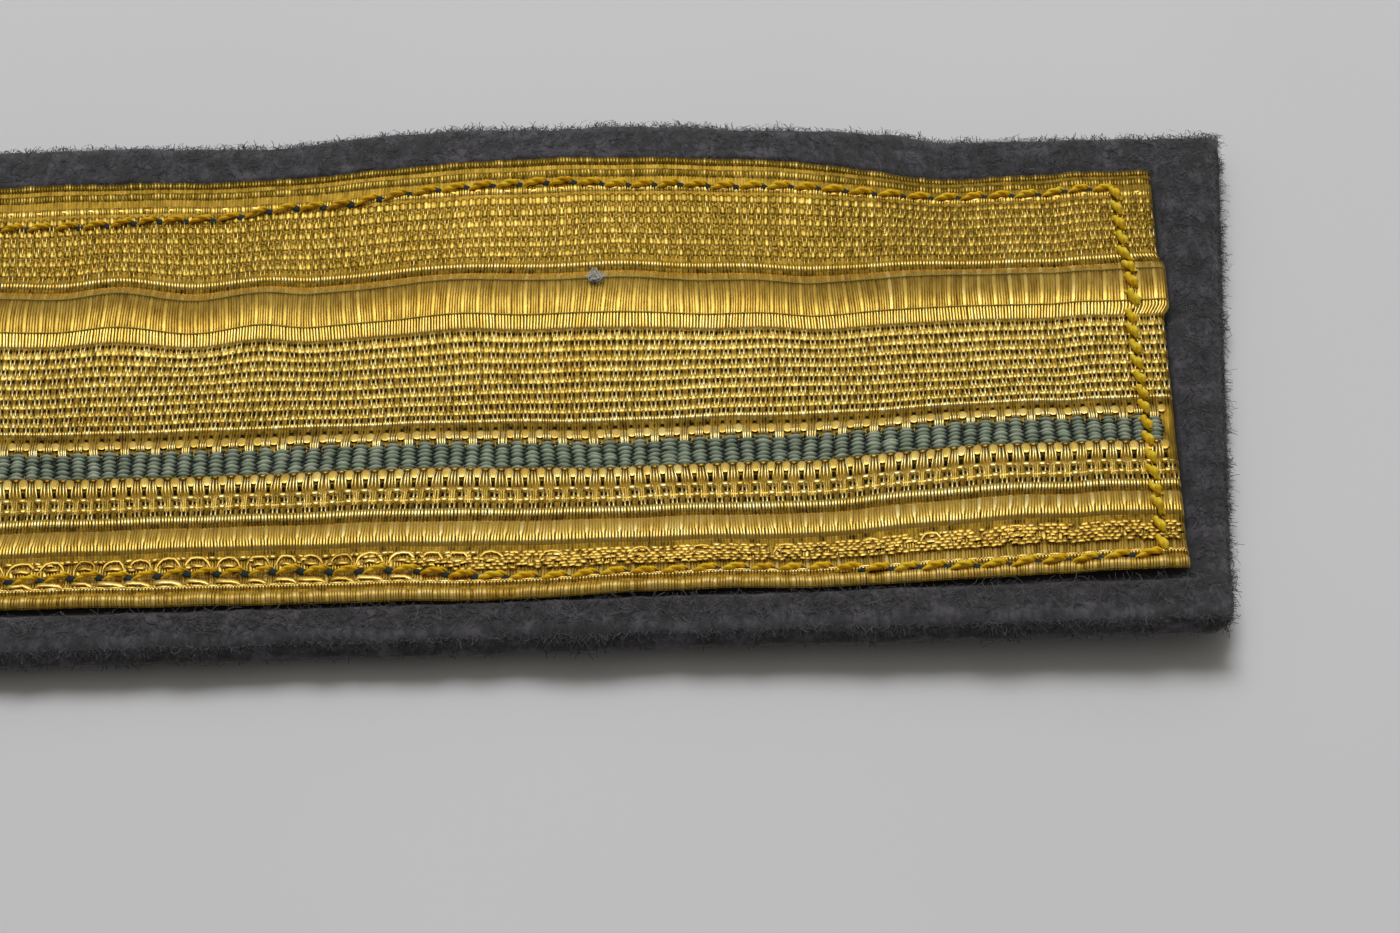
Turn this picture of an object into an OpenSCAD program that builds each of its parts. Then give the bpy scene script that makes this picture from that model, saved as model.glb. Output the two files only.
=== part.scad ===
// Cap rank insignia: a broad woven gold lace with one green ribbed stripe, laid flat
// on an oblong of thick wool felt. The lace is folded under at both of its ends.
// X runs along the patch, Y across it and Z up from the surface that it lies on.
// The origin is under the middle of the felt.

/* [Felt backing] */
// Length of the felt along its longer, far edge
felt_l = 140; // [110:1:170]
// Width of the felt across the patch
felt_w = 54; // [50:0.5:60]
// Thickness of the felt
felt_t = 2.3; // [1.8:0.1:3]
// How much further each cut end reaches at the far edge than at the near edge
felt_skew = 5.8; // [0:0.1:8]
// Radius of the two corners at the far edge
far_corner_r = 1; // [0.5:0.1:3]
// Radius of the two corners at the near edge
near_corner_r = 2.2; // [0.5:0.1:4]
// Width of the soft bevel that the cut leaves round the felt's edge
felt_bevel = 0.4; // [0.2:0.05:0.6]

/* [Gold lace] */
// Length of the lace at its middle, from one folded end to the other
lace_l = 125; // [90:1:130]
// Width of the lace from selvage to selvage
lace_w = 45; // [42:0.5:46]
// Felt that shows between the near edge and the lace
near_margin = 3.7; // [3:0.1:5]
// How much further each end of the lace reaches at its far edge than at its near edge
lace_skew = 2; // [0:0.1:3]
// How far the ends of the broad smooth band stand out past the rest of the lace
satin_bulge = 0.5; // [0:0.1:1]
// Length that is folded under at each end
hem_l = 6; // [4:0.5:10]
// How much the folded part lifts the ends
hem_t = 0.4; // [0.2:0.05:0.6]

/* [Green stripe] */
// Width of the ribbed stripe
stripe_w = 3; // [2:0.1:3.1]
// Thickness of the ribbed stripe at the top of a rib
stripe_t = 0.45; // [0.4:0.05:0.7]
// Distance from one rib to the next
rib_pitch = 1.23; // [1.1:0.01:1.6]
// Depth of the valley between two ribs
rib_depth = 0.2; // [0.1:0.05:0.3]

/* [Form] */
// Gap between the felt and the lace, and between the lace and the stripe
gap = 0.12; // [0.1:0.01:0.2]
// Height of the tallest pucker in the lace's broad smooth band
pucker_h = 0.52; // [0:0.01:0.6]

/* [Hidden] */

// The lace from its near selvage to its far one, drawn at the nominal width
NOMINAL_W = 45;
OFFSET = 0; // column: distance from the near selvage
FACE = 1; // column: height of the woven face above the lace's underside
bands = [
  [0, 0.3], [0.3, 0.6], [1.2, 0.62], // near selvage
  [2.1, 0.44], [3.2, 0.62], // near row of stitches, sunk in
  [4.9, 0.58], [5.4, 0.86], [6.4, 0.94], [7.5, 0.82], [7.9, 0.58], // narrow smooth band
  [9, 0.68], [11.4, 0.62], [12.3, 0.76], [12.65, 0.74], // near ribs
  [12.75, 0.24], [16.05, 0.24], // groove that holds the stripe
  [16.15, 0.74], [16.7, 0.76], [17.4, 0.6], [18.5, 0.68], // far ribs
  [23, 0.66], [26.9, 0.66], [27.4, 0.58], [28.5, 0.8], // basket weave
  [29.7, 1.08], [31.2, 1.16], [32.6, 1], [33.9, 0.6], // broad smooth band
  [35.2, 0.66], [39, 0.64], [42.1, 0.62], // far basket weave
  [43, 0.44], [44, 0.56], [45, 0.3] // far row of stitches and far selvage
];
BANDS_PER_STEP = 3; // the underside has one row of points for this many of the face
GROOVE_OFFSET = 14.4; // middle of the groove, from the near selvage
GROOVE_FLOOR = 0.24; // height of the groove's floor above the lace's underside
SATIN_OFFSET = 31.1; // middle of the broad smooth band, from the near selvage
SATIN_W = 5; // width of the broad smooth band
FOLD_EDGE = 0.35; // how far the folded end rounds over
FOLD_FACE = 0.5; // height left at the very end, as a share of the face's
HEM_SLOPE = 1.5; // length over which the folded part comes down to the single lace
SATIN_EDGE = 1; // length over which the bulge of the smooth band's ends fades out

// How high the far part of the patch has sprung up off the table
AT = 0; // column: place along the patch, as a share of half its length
RISE = 1; // column: height of the lace's far edge above its flat height
rises = [
  [-1, 0.2], [-0.75, 1.7], [-0.43, 2.8], [-0.2, 2.5], [0.03, 3.7],
  [0.2, 4.15], [0.34, 3.7], [0.49, 2.9], [0.58, 1.5], [0.66, 0.3], [0.75, 0.5], [1, 0.4]
];

// How high the near edge of the felt has sprung up, in the same columns
near_rises = [[-1, 0.8], [-0.4, 1], [0.1, 1.1], [0.5, 1.5], [0.85, 2], [1, 1.9]];
NEAR_LIFT_W = 9; // width of the strip along the near edge that stands off the table

// The crests and hollows of the puckers, as places along the patch and shares of the tallest
puckers = [
  [-1, 0], [-0.9, 0], [-0.81, 0.2], [-0.73, -0.1], [-0.64, 0.4], [-0.56, -0.2], [-0.49, 0.6],
  [-0.39, 0.1], [-0.32, 0.63], [-0.23, -0.4], [-0.15, 0.33], [-0.09, -0.15], [0.08, 1],
  [0.17, 0.48], [0.26, 0.54], [0.36, 0.06], [0.43, -0.06], [0.5, -0.58], [0.61, 0.2],
  [0.71, 0.24], [0.81, -0.08], [0.9, 0], [1, 0]
];
PUCKER_REACH = 6.5; // how far they spread across the patch from the smooth band's middle

LIFT_SHARE = 0.58; // share of the lace's width that the lift takes up
LIFT_POWER = 3; // how much of the bend is kept for the far edge
FELT_DROOP = 0.03; // share of the rise that the bare felt margin loses per millimetre

// Where the felt's rows of points lie, as distances from its near edge
NOMINAL_FELT_W = 54;
felt_rows = [0, 0.4, 1.1, 3.7, 9, 16, 22.5, 29, 34, 38.5, 42.5, 45.7, 48.7, 51.5, 52.9, 53.6, 54];
FELT_ROWS_PER_STEP = 2; // the underside has one row of points for this many of the top
FELT_COLS = 54; // columns of points along the felt
LACE_COLS = 60; // columns of points along the lace
RIB_POINTS = 3; // columns of points in a rib

lace_y0 = near_margin - felt_w / 2; // the near selvage
lace_y1 = lace_y0 + lace_w; // the far selvage
band_scale = lace_w / NOMINAL_W;
satin_y = lace_y0 + SATIN_OFFSET * band_scale;
stripe_y = lace_y0 + GROOVE_OFFSET * band_scale;
lift_y = lace_y1 - LIFT_SHARE * lace_w; // where the patch leaves the table

function clamp(v, low, high) = max(low, min(high, v));
function smooth(s) = s * s * (3 - 2 * s);

// A smooth curve through the rows of a table of places and heights
function tangent(t, i) = i == 0 || i == len(t) - 1 ? 0 :
  (t[i + 1][RISE] - t[i - 1][RISE]) / (t[i + 1][AT] - t[i - 1][AT]);
function curve(t, at, i = 0) =
  at <= t[0][AT] ? t[0][RISE] :
  i == len(t) - 1 ? t[i][RISE] :
  at > t[i + 1][AT] ? curve(t, at, i + 1) :
  let (w = t[i + 1][AT] - t[i][AT], s = (at - t[i][AT]) / w)
    t[i][RISE] * (1 - smooth(s)) + t[i + 1][RISE] * smooth(s)
      + w * s * (1 - s) * (tangent(t, i) * (1 - s) - tangent(t, i + 1) * s);

// How far the whole patch stands off the table at a place
function lift(y) =
  pow(clamp((y - lift_y) / (lace_y1 - lift_y), 0, 1), LIFT_POWER) * (1 - FELT_DROOP * max(0, y - lace_y1));
function near_lift(y) = pow(clamp(1 - (y + felt_w / 2) / NEAR_LIFT_W, 0, 1), 2);
function buckle(x, y) =
  max(0, curve(rises, x / (felt_l / 2))) * lift(y) + curve(near_rises, x / (felt_l / 2)) * near_lift(y);

// Ripples of the lace and of the felt's upper face, strongest in the smooth band
function pucker(x, y) =
  pucker_h * curve(puckers, x / (felt_l / 2)) * exp(-pow((y - satin_y) / PUCKER_REACH, 2));

function bed(x, y) = felt_t + buckle(x, y) + pucker(x, y);

// Half the length of the felt and of the lace, at a place across the patch
function corner(d, r) = d >= r ? 0 : r - sqrt(r * r - pow(r - d, 2));
function felt_half(y) =
  felt_l / 2 - felt_skew * (0.5 - y / felt_w)
    - corner(felt_w / 2 - y, far_corner_r) - corner(felt_w / 2 + y, near_corner_r);
function lace_half(y) =
  lace_l / 2 + lace_skew * ((y - lace_y0) / lace_w - 0.5)
    + satin_bulge * smooth(clamp((SATIN_W / 2 + SATIN_EDGE - abs(y - satin_y)) / SATIN_EDGE, 0, 1));

// Triangles of a closed slab. Its face has rows points in each column, and its
// underside one point for every step rows.
function slab_faces(cols, rows, step) =
  let (low = (rows - 1) / step + 1, base = cols * rows)
    concat(
      [for (i = [0:cols - 2], j = [0:rows - 2], half = [0, 1])
        let (a = i * rows + j, b = a + rows) half == 0 ? [a, a + 1, b] : [a + 1, b + 1, b]],
      [for (i = [0:cols - 2], j = [0:low - 2], half = [0, 1])
        let (a = base + i * low + j, b = a + low) half == 0 ? [a, b, a + 1] : [a + 1, b, b + 1]],
      [for (i = [0:cols - 2], side = [0, 1], half = [0, 1])
        let (
          t = i * rows + side * (rows - 1), u = base + i * low + side * (low - 1),
          near = half == 0 ? [t, t + rows, u] : [t + rows, u + low, u]
        ) side == 0 ? near : [near[0], near[2], near[1]]],
      [for (side = [0, 1], j = [0:low - 2], n = [0:step])
        let (
          t = side * (cols - 1) * rows + j * step, u = base + side * (cols - 1) * low + j,
          left = n < step ? [t + n, u, t + n + 1] : [t + step, u, u + 1]
        ) side == 0 ? left : [left[0], left[2], left[1]]]
    );

module slab(top, under, cols, rows, step) {
  polyhedron(points = concat(top, under), faces = slab_faces(cols, rows, step));
}

// Places of a slab's columns, from -1 to 1, with the first and last close to the ends
function stations(cols, edge) =
  concat([-1], [for (i = [0:cols - 3]) (1 - edge) * (2 * i / (cols - 3) - 1)], [1]);

module felt_backing() {
  rows = [for (r = felt_rows) r * felt_w / NOMINAL_FELT_W - felt_w / 2];
  n = len(rows) - 1;
  across = stations(FELT_COLS, 2 * felt_bevel / felt_l);
  edge = function(i, j) i == 0 || i == FELT_COLS - 1 || j == 0 || j == n;
  top = [for (i = [0:FELT_COLS - 1], j = [0:n])
    let (x = across[i] * felt_half(rows[j]))
      [x, rows[j], bed(x, rows[j]) - (edge(i, j) ? felt_bevel : 0)]];
  under = [for (i = [0:FELT_COLS - 1], j = [0:FELT_ROWS_PER_STEP:n])
    let (x = across[i] * felt_half(rows[j])) [x, rows[j], buckle(x, rows[j])]];
  color([0.22, 0.22, 0.24]) slab(top, under, FELT_COLS, n + 1, FELT_ROWS_PER_STEP);
}

module gold_lace() {
  n = len(bands) - 1;
  across = stations(LACE_COLS, 2 * FOLD_EDGE / lace_l);
  y_of = function(j) lace_y0 + bands[j][OFFSET] * band_scale;
  // The folded end lies on itself, so it stands higher than the single lace
  hem = function(x, y)
    hem_t * smooth(clamp((hem_l + HEM_SLOPE - (lace_half(y) - abs(x))) / HEM_SLOPE, 0, 1));
  top = [for (i = [0:LACE_COLS - 1], j = [0:n])
    let (
      y = y_of(j), x = across[i] * lace_half(y),
      full = bands[j][FACE] + hem(x, y) * (bands[j][FACE] == GROOVE_FLOOR ? 0 : 1),
      face = i == 0 || i == LACE_COLS - 1 ? min(full, FOLD_FACE * (bands[j][FACE] + hem_t)) : full
    ) [x, y, bed(x, y) + gap + max(face, GROOVE_FLOOR)]];
  under = [for (i = [0:LACE_COLS - 1], j = [0:BANDS_PER_STEP:n])
    let (y = y_of(j), x = across[i] * lace_half(y)) [x, y, bed(x, y) + gap]];
  color([0.72, 0.55, 0.2]) slab(top, under, LACE_COLS, n + 1, BANDS_PER_STEP);
}

module green_stripe() {
  half = lace_half(stripe_y) - FOLD_EDGE;
  ribs = floor(2 * half / rib_pitch);
  cols = ribs * RIB_POINTS + 1;
  // Places across the stripe as shares of half its width, and their shares of its height
  rows = [[-1, 0.5], [-0.7, 1], [0.7, 1], [1, 0.5]];
  start = -ribs * rib_pitch / 2;
  x_of = function(i) start + i * rib_pitch / RIB_POINTS;
  top = [for (i = [0:cols - 1], r = rows)
    let (
      x = x_of(i), y = stripe_y + r[0] * stripe_w / 2,
      face = (stripe_t - (i % RIB_POINTS == 0 ? rib_depth : 0)) * r[1]
    ) [x, y, bed(x, y) + 2 * gap + GROOVE_FLOOR + face]];
  under = [for (i = [0:cols - 1], side = [-1, 1])
    let (x = x_of(i), y = stripe_y + side * stripe_w / 2)
      [x, y, bed(x, y) + 2 * gap + GROOVE_FLOOR]];
  color([0.3, 0.38, 0.31]) slab(top, under, cols, len(rows), len(rows) - 1);
}

felt_backing();
gold_lace();
green_stripe();
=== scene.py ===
"""Cap rank insignia, dressed: woven gold metal lace with a green ribbed stripe, sewn on wool felt.

Lengths are in millimetres until a mesh is made. A place on the lace is given as s, the distance
along it from its middle, v, the distance across it from the near selvage, and h, the height above
the lace's underside. A point's tint, from 0 to 1, picks its colour in its material.
"""

import math

import bpy
import numpy as np
from mathutils import Matrix, Vector


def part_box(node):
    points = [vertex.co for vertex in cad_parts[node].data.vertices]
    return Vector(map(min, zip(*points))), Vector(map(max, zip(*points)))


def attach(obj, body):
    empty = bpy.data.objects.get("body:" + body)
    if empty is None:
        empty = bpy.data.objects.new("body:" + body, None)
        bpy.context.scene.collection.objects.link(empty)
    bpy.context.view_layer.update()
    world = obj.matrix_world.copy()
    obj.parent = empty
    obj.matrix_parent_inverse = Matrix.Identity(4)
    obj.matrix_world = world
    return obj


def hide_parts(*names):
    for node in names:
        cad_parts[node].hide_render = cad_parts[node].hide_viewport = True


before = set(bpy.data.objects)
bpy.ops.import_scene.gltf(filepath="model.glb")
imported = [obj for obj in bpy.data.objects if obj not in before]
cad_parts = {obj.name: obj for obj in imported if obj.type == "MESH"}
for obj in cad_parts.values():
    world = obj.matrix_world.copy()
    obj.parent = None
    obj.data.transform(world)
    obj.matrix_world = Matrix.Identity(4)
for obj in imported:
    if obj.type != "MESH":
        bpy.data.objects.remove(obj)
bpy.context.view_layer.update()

MM = 0.001
TAU = 2 * math.pi
random = np.random.default_rng(20)

# Sizes of the patch, as in the part's source

FELT_LO, FELT_HI = (np.array(corner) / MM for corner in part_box("felt_backing"))
FELT_W = FELT_HI[1] - FELT_LO[1]
FELT_L = 140.0
FELT_T = 2.3
FELT_SKEW = 5.8
FAR_CORNER_R = 1.0
NEAR_CORNER_R = 2.2

LACE_LO, LACE_HI = (np.array(corner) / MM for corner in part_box("gold_lace"))
LACE_Y0 = LACE_LO[1]
LACE_W = LACE_HI[1] - LACE_LO[1]
LACE_Y1 = LACE_Y0 + LACE_W
LACE_L = 125.0
LACE_SKEW = 2.0
HEM_L = 6.0
HEM_T = 0.3
HEM_SLOPE = 3.0
GAP = 0.12  # between the felt and the lace
SATIN_Y = LACE_Y0 + 31.1
SATIN_W = 5.0
SATIN_EDGE = 1.0
SATIN_BULGE = 0.5
BULGE_START = 56  # nearer to the middle than this the bulge isn't felt

PUCKER_H = 0.52
PUCKERS = (  # place along the patch as a share of half the felt's length, share of the tallest pucker
    (-1, 0), (-0.9, 0), (-0.81, 0.2), (-0.73, -0.1), (-0.64, 0.4), (-0.56, -0.2), (-0.49, 0.6),
    (-0.39, 0.1), (-0.32, 0.63), (-0.23, -0.4), (-0.15, 0.33), (-0.09, -0.15), (0.08, 1),
    (0.17, 0.48), (0.26, 0.54), (0.36, 0.06), (0.43, -0.06), (0.5, -0.58), (0.61, 0.2),
    (0.71, 0.24), (0.81, -0.08), (0.9, 0), (1, 0),
)
PUCKER_REACH = 6.5

LIFT_SHARE = 0.58
LIFT_POWER = 3
LIFT_Y = LACE_Y0 + LACE_W * (1 - LIFT_SHARE)
FELT_DROOP = 0.03
RISES = (  # place along the patch as a share of half the felt's length, rise of the lace's far edge
    (-1, 0.2), (-0.75, 1.7), (-0.43, 2.8), (-0.2, 2.5), (0.03, 3.7),
    (0.2, 4.15), (0.34, 3.7), (0.49, 2.9), (0.58, 1.5), (0.66, 0.3), (0.75, 0.5), (1, 0.4),
)
NEAR_RISES = ((-1, 0.8), (-0.4, 1), (0.1, 1.1), (0.5, 1.5), (0.85, 2), (1, 1.9))
NEAR_LIFT_W = 9  # width of the strip along the near edge that stands off the table
NEAR_LIFT_MOST = 1.1

# How the rows of the weave wander

STRAY_V = (0, 5, 14.4, 22)  # places across the lace, at the last of which no row strays
STRAYS = (  # place along the patch, how far the rows stray across it at each of the first three of those
    (-70, 0.08, 0, 0.4), (-29.5, 0, -0.02, 0.45), (-21.5, 0.01, -0.03, 0.12),
    (-13.6, -0.18, 0.12, -0.05), (-5.6, -0.44, -0.1, 0.2), (2.6, -0.34, -0.03, 0.24),
    (10.6, -0.57, -0.17, 0.05), (18.6, -0.2, -0.28, -0.3), (26.5, -0.06, -0.24, -0.25),
    (34.4, -0.49, -0.4, -0.11), (42.5, -0.1, 0.3, 0.63), (50.6, 0.25, 0.98, 1.03),
    (58.6, 0.12, 0.64, 0.63), (70, 0.12, 0.45, 0.4),
)
SWAY = ((0.05, 37.0, 0.4), (0.05, 21.0, -0.7), (0.035, 8.3, 0.5))  # height, wavelength, lean
SHIFT = ((0.22, 43.0, 1.5), (0.07, 13.0, -1.4))
SHIFT_FADE = 9  # the shift along the lace dies away over this length before its ends

# The weave. A repeat holds one wide pick and four thin ones.

RIB = 1.23  # one repeat of the weave along the lace
RIBS = 50  # repeats on each side of the middle
WIDE_PICK = 0.36
THIN_PICK = 0.185
PHASES = (0, 0.24, 0.413, 0.587, 0.76)  # places of the picks in a repeat, the wide one first
PICK_JITTER = 0.012
PAST_END = 0.4  # how far past the fold the last pick may lie
FOLD_REACH = 0.45  # how far the folded end stands out past the turn's middle
TURN = 0.62  # length of lace that makes a quarter of the fold

FACE = (  # distance from the near selvage, height of the woven face
    (0, 0.4), (0.3, 0.6), (1.2, 0.62), (2.1, 0.5), (3.2, 0.62),
    (4.9, 0.58), (5.4, 0.86), (6.4, 0.94), (7.3, 0.86), (7.8, 0.62),
    (9, 0.68), (11.4, 0.64), (12.4, 0.74), (12.9, 0.66), (15.9, 0.66), (16.7, 0.76), (17.4, 0.64),
    (18.5, 0.68), (23, 0.66), (26.9, 0.66), (27.4, 0.6), (28.4, 0.8),
    (29.5, 1.06), (31, 1.16), (32.5, 1.02), (33.9, 0.62),
    (35, 0.66), (39, 0.64), (42.1, 0.62), (43, 0.5), (44, 0.56), (45, 0.4),
)


def smooth(t):
    t = np.clip(t, 0, 1)
    return t * t * (3 - 2 * t)


def past(at, start, width):
    """0 before a place, rising smoothly to 1 over a width beyond it."""
    return smooth((at - start) / width)


def hill(distance, reach, power=2):
    """1 at no distance, falling to 0 beyond the reach. A higher power makes the sides steeper."""
    return np.exp(-((distance / reach) ** power))


def curve(table, at):
    """A smooth curve through a table's rows of places and heights."""
    x, y = np.array(table, float).T
    slope = np.zeros(len(x))
    slope[1:-1] = (y[2:] - y[:-2]) / (x[2:] - x[:-2])
    i = np.clip(np.searchsorted(x, at, side="right") - 1, 0, len(x) - 2)
    w = x[i + 1] - x[i]
    t = np.clip((at - x[i]) / w, 0, 1)
    bend = w * t * (1 - t) * (slope[i] * (1 - t) - slope[i + 1] * t)
    return y[i] * (1 - smooth(t)) + y[i + 1] * smooth(t) + bend


def face(v):
    return curve(FACE, np.asarray(v, float))


def near_rise(x):
    return curve(NEAR_RISES, x / (FELT_L / 2))


def buckle(x, y):
    """How far the patch has sprung up off the table."""
    rise = np.maximum(curve(RISES, x / (FELT_L / 2)), 0)
    lift = np.clip((y - LIFT_Y) / (LACE_Y1 - LIFT_Y), 0, 1) ** LIFT_POWER
    near = np.clip(1 - (y + FELT_W / 2) / NEAR_LIFT_W, 0, NEAR_LIFT_MOST) ** 2 * near_rise(x)
    return rise * lift * (1 - FELT_DROOP * np.maximum(y - LACE_Y1, 0)) + near


def pucker(x, y):
    """The ripples at the broad smooth band."""
    return PUCKER_H * curve(PUCKERS, x / (FELT_L / 2)) * hill(y - SATIN_Y, PUCKER_REACH)


def bed(x, y):
    """The felt's upper face, without its nap."""
    return FELT_T + buckle(x, y) + pucker(x, y)


def corner(d, r):
    """How far a rounded corner of radius r draws in at a distance d from the edge beside it."""
    return np.where(d < r, r - np.sqrt(np.maximum(r * r - (r - np.clip(d, 0, r)) ** 2, 0)), 0)


def felt_half(y):
    skew = FELT_SKEW * (0.5 - y / FELT_W)
    far, near = corner(FELT_W / 2 - y, FAR_CORNER_R), corner(FELT_W / 2 + y, NEAR_CORNER_R)
    return FELT_L / 2 - skew - far - near


def lace_half(y, bulge=SATIN_BULGE):
    near = smooth((SATIN_W / 2 + SATIN_EDGE - abs(y - SATIN_Y)) / SATIN_EDGE)
    return LACE_L / 2 + LACE_SKEW * ((y - LACE_Y0) / LACE_W - 0.5) + bulge * near


def hem(s):
    return HEM_T * smooth((HEM_L + HEM_SLOPE - (LACE_L / 2 - abs(s))) / HEM_SLOPE)


def waves(x, y, table):
    """Slow irregular waves: rows of height, wavelength and lean."""
    made = np.zeros(np.broadcast(x, y).shape)
    for height, length, lean in table:
        made = made + height * np.sin(TAU * (x + lean * y) / length + 7.3 * lean + length)
    return made


def stray(s, v):
    """How far the rows stray across the lace, near the selvage and the stripe."""
    table = np.array(STRAYS)
    moved = 0
    for i in range(len(STRAY_V) - 1):
        share = np.interp(v, STRAY_V, np.eye(len(STRAY_V))[i])
        moved = moved + curve(table[:, [0, i + 1]], s) * share
    return moved


def place(s, v, h):
    """Points of the lace. Its ends turn round and under, and its rows sway across with the puckers."""
    s, v, h = np.broadcast_arrays(s, v, h)
    straight = LACE_L / 2 - FOLD_REACH
    turn = np.clip((abs(s) - straight) / TURN, 0, 2) * math.pi / 2
    flat = np.sign(s) * (np.minimum(abs(s), straight) + FOLD_REACH * np.sin(turn))
    shift = waves(s, v, SHIFT) * smooth((straight - abs(s)) / SHIFT_FADE)
    y = LACE_Y0 + v
    bulge = SATIN_BULGE * smooth((abs(s) - BULGE_START) / (LACE_L / 2 - BULGE_START))
    x = (flat + shift) * lace_half(y, bulge) / (LACE_L / 2)
    y = y + waves(s, v, SWAY) + pucker(x, y) + stray(s, v)
    z = bed(x, y) + GAP + (h + hem(s)) * (1 + np.cos(turn)) / 2
    return np.stack([x, y, z], -1)


# Meshes

NOISE_SIZE = 64  # cells of the noise before it repeats


class Piece:
    """Grids of points that become one mesh, each point with a tint."""

    def __init__(self, name):
        self.name = name
        self.points, self.quads, self.tints = [], [], []
        self.count = 0

    def add(self, grid, tint, wrap=False):
        """Adds n grids of a by b points. The tint is one number, or one for each grid or point."""
        n, a, b = grid.shape[:3]
        i, j = np.arange(a - 1)[:, None], np.arange(b if wrap else b - 1)[None, :]
        k = (j + 1) % b
        quads = np.stack([i * b + j, i * b + k, (i + 1) * b + k, (i + 1) * b + j], -1).reshape(-1, 4)
        self.quads.append((quads + np.arange(n)[:, None, None] * a * b + self.count).reshape(-1, 4))
        tint = np.asarray(tint, float)
        tint = tint.reshape(tint.shape + (1,) * (3 - tint.ndim))
        self.tints.append(np.broadcast_to(tint, (n, a, b)).ravel())
        self.points.append(grid.reshape(-1, 3))
        self.count += n * a * b

    def build(self, material):
        points, quads, tints = (np.concatenate(part) for part in (self.points, self.quads, self.tints))
        return shown(self.name, points, quads, tints, material)


def placed(name, data):
    made = bpy.data.objects.new(name, data)
    bpy.context.scene.collection.objects.link(made)
    return made


def shown(name, points, quads, tints, material):
    """A piece of the scene on the part's one body."""
    mesh = bpy.data.meshes.new(name)
    mesh.vertices.add(len(points))
    mesh.vertices.foreach_set("co", (points * MM).astype(np.float32).ravel())
    mesh.loops.add(quads.size)
    mesh.loops.foreach_set("vertex_index", quads.astype(np.int32).ravel())
    mesh.polygons.add(len(quads))
    mesh.polygons.foreach_set("loop_start", np.arange(0, quads.size, 4, dtype=np.int32))
    mesh.polygons.foreach_set("use_smooth", np.ones(len(quads), bool))
    mesh.update(calc_edges=True)
    mesh.validate()
    mesh.attributes.new("tint", "FLOAT", "POINT").data.foreach_set("value", tints.astype(np.float32))
    mesh.materials.append(material)
    piece = placed(name, mesh)
    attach(piece, "root")
    return piece


def noise(x, y, cell, seed):
    """Smooth random heights from -1 to 1 on a plane, with lumps of about the cell's size."""
    table = np.random.default_rng(seed).uniform(-1, 1, (NOISE_SIZE, NOISE_SIZE))
    fx, fy = np.asarray(x) / cell, np.asarray(y) / cell
    ix, iy = np.floor(fx).astype(int), np.floor(fy).astype(int)
    tx, ty = smooth(fx - ix), smooth(fy - iy)

    def level(row):
        row = row % NOISE_SIZE
        return table[ix % NOISE_SIZE, row] * (1 - tx) + table[(ix + 1) % NOISE_SIZE, row] * tx

    return level(iy) * (1 - ty) + level(iy + 1) * ty


def jitter(size, *shape):
    return random.normal(0, size, shape)


# Materials. The scales of their grains are in lumps a metre, and stretches are along x, y and z.


class Look:
    """A node material round one principled shader."""

    def __init__(self, name, **values):
        self.material = bpy.data.materials.new(name)
        self.material.use_nodes = True
        self.tree = self.material.node_tree
        self.shader = self.tree.nodes["Principled BSDF"]
        for socket, value in values.items():
            self.shader.inputs[socket.replace("_", " ")].default_value = value

    def node(self, kind, sources=(), **values):
        """A new node, with a value or another node's output for each named or numbered socket."""
        made = self.tree.nodes.new(kind)
        for name, value in values.items():
            setattr(made, name, value)
        for socket, source in dict(sources).items():
            if isinstance(source, bpy.types.NodeSocket):
                self.tree.links.new(source, made.inputs[socket])
            else:
                made.inputs[socket].default_value = source
        return made

    def grain(self, scale, detail, stretch=(1, 1, 1), rough=0.6):
        """Noise that is fixed to the object."""
        where = self.node("ShaderNodeTexCoord").outputs["Object"]
        where = self.node("ShaderNodeMapping", {"Vector": where, "Scale": stretch}).outputs["Vector"]
        sources = {"Vector": where, "Scale": scale, "Detail": detail, "Roughness": rough}
        return self.node("ShaderNodeTexNoise", sources).outputs["Fac"]

    def tint(self):
        return self.node("ShaderNodeAttribute", attribute_name="tint").outputs["Fac"]

    def math(self, way, first, second):
        return self.node("ShaderNodeMath", {0: first, 1: second}, operation=way).outputs["Value"]

    def stirred(self, value, grain, strength):
        """A value moved up and down by a grain."""
        return self.math("ADD", value, self.math("MULTIPLY", self.math("ADD", grain, -0.5), strength))

    def ramp(self, source, *stops):
        made = self.node("ShaderNodeValToRGB", {"Fac": source})
        elements = made.color_ramp.elements
        while len(elements) < len(stops):
            elements.new(0.5)
        for element, (at, colour) in zip(elements, stops):
            element.position = at
            element.color = (*colour, 1)
        return made.outputs["Color"]

    def multiply(self, first, second):
        sources = {0: 1.0, 6: first, 7: second}
        return self.node("ShaderNodeMix", sources, data_type="RGBA", blend_type="MULTIPLY").outputs[2]

    def bump(self, height, strength, distance):
        made = self.node("ShaderNodeBump", {"Height": height, "Strength": strength, "Distance": distance})
        self.tree.links.new(made.outputs["Normal"], self.shader.inputs["Normal"])

    def coloured(self, source):
        self.tree.links.new(source, self.shader.inputs["Base Color"])
        return self.material


def metal_look(name, dark, plain, bright, roughness, tarnish):
    """Flat gilt thread, dulled in patches by a tarnish colour."""
    look = Look(name, Metallic=1.0, Roughness=roughness)
    value = look.stirred(look.tint(), look.grain(60, 4), 0.5)
    value = look.stirred(value, look.grain(2400, 2, stretch=(1, 0.25, 1)), 0.7)
    stain = look.ramp(look.grain(110, 5, rough=0.7), (0.52, (1, 1, 1)), (0.78, tarnish))
    look.bump(look.grain(5200, 1, stretch=(1, 0.35, 1)), 0.25, 0.03 * MM)
    return look.coloured(look.multiply(look.ramp(value, (0, dark), (0.5, plain), (1, bright)), stain))


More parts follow.
